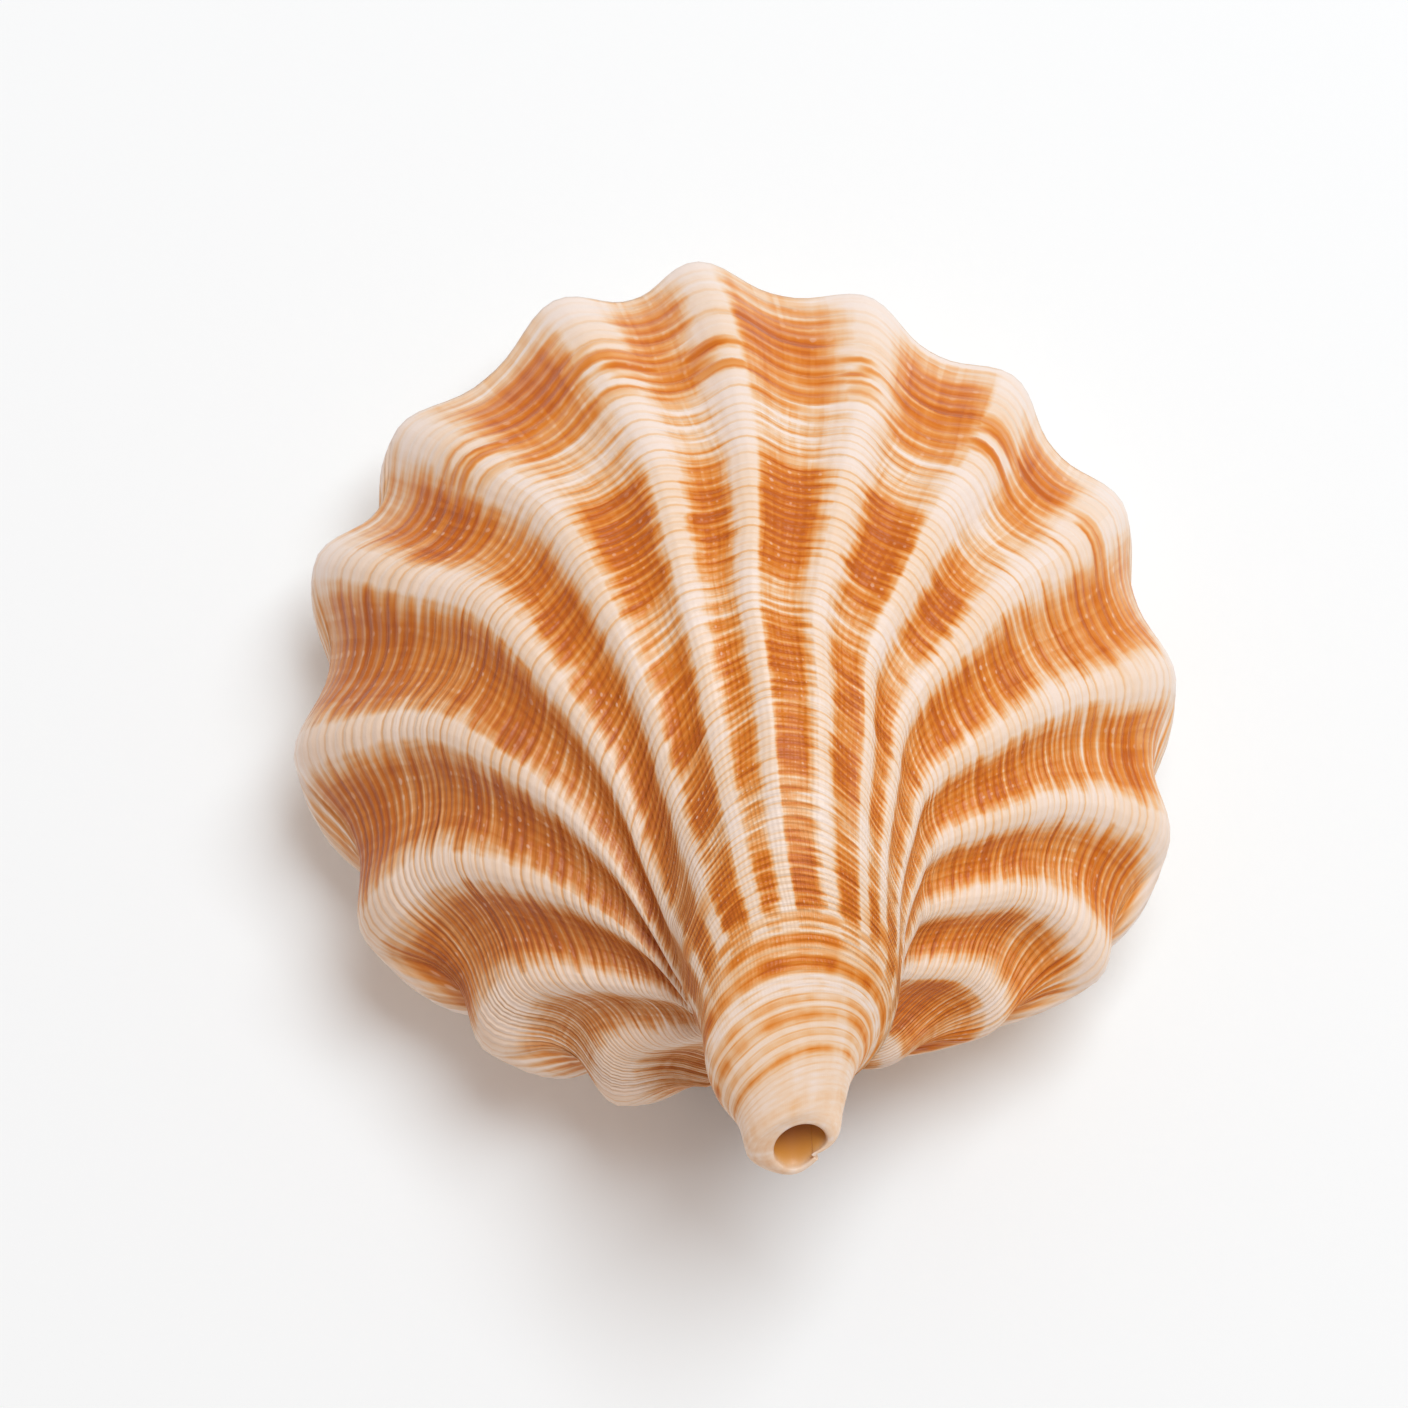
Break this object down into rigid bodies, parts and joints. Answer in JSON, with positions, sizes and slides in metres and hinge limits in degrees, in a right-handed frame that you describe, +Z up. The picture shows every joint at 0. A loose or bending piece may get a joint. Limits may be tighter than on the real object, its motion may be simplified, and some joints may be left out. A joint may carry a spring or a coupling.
{
  "type": "whelk shell",
  "caption": "Ribbed, fan-shaped whelk shell with a short open snout, a knobbed scalloped shoulder, a low spiral base and a slot-like mouth, lying on its spire.",
  "frame": {"origin": "centre of the shell's bounding box, on the surface the shell rests on", "axes": "+Z up from the spire the shell lies on, -Y towards the snout, +X to the right seen from above"},
  "size_m": [0.0852, 0.093, 0.0401],
  "materials": {
    "shell": "glossy natural shell, saffron orange stripes over cream"
  },
  "bodies": {
    "root": {"shell": "shell"}
  },
  "joints": []
}
